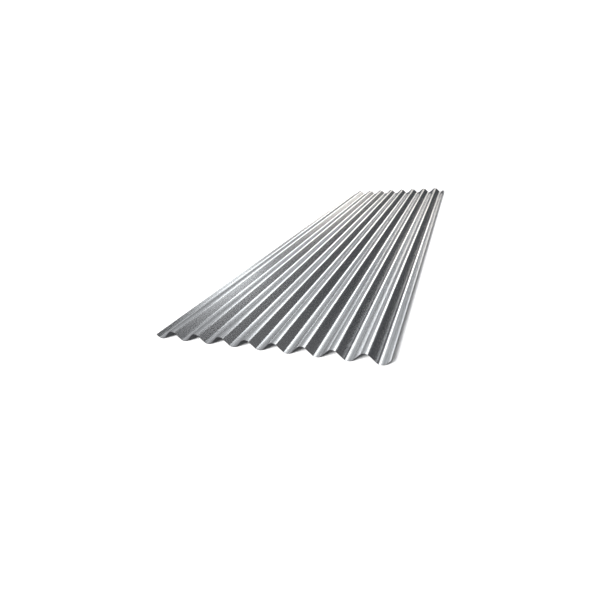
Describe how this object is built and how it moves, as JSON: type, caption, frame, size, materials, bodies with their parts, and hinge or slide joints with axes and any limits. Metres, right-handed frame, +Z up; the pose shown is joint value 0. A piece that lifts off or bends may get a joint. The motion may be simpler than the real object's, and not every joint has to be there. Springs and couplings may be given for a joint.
{
  "type": "corrugated metal sheet",
  "caption": "Plain galvanised steel sheet rolled into round corrugations that run its full length, with both side edges turned up for lapping and both ends cut square.",
  "frame": {"origin": "middle of the sheet in plan, on the plane that the undersides of the troughs rest on", "axes": "+Y along the corrugations, +X across them from the edge with the shorter lip to the edge with the longer one, +Z up out of the crests"},
  "size_m": [0.5788, 2, 0.0227],
  "materials": {
    "galvanised_steel": "bright hot-dip zinc with fine grain along the corrugations"
  },
  "bodies": {
    "root": {"corrugated_sheet": "galvanised_steel"}
  },
  "joints": []
}
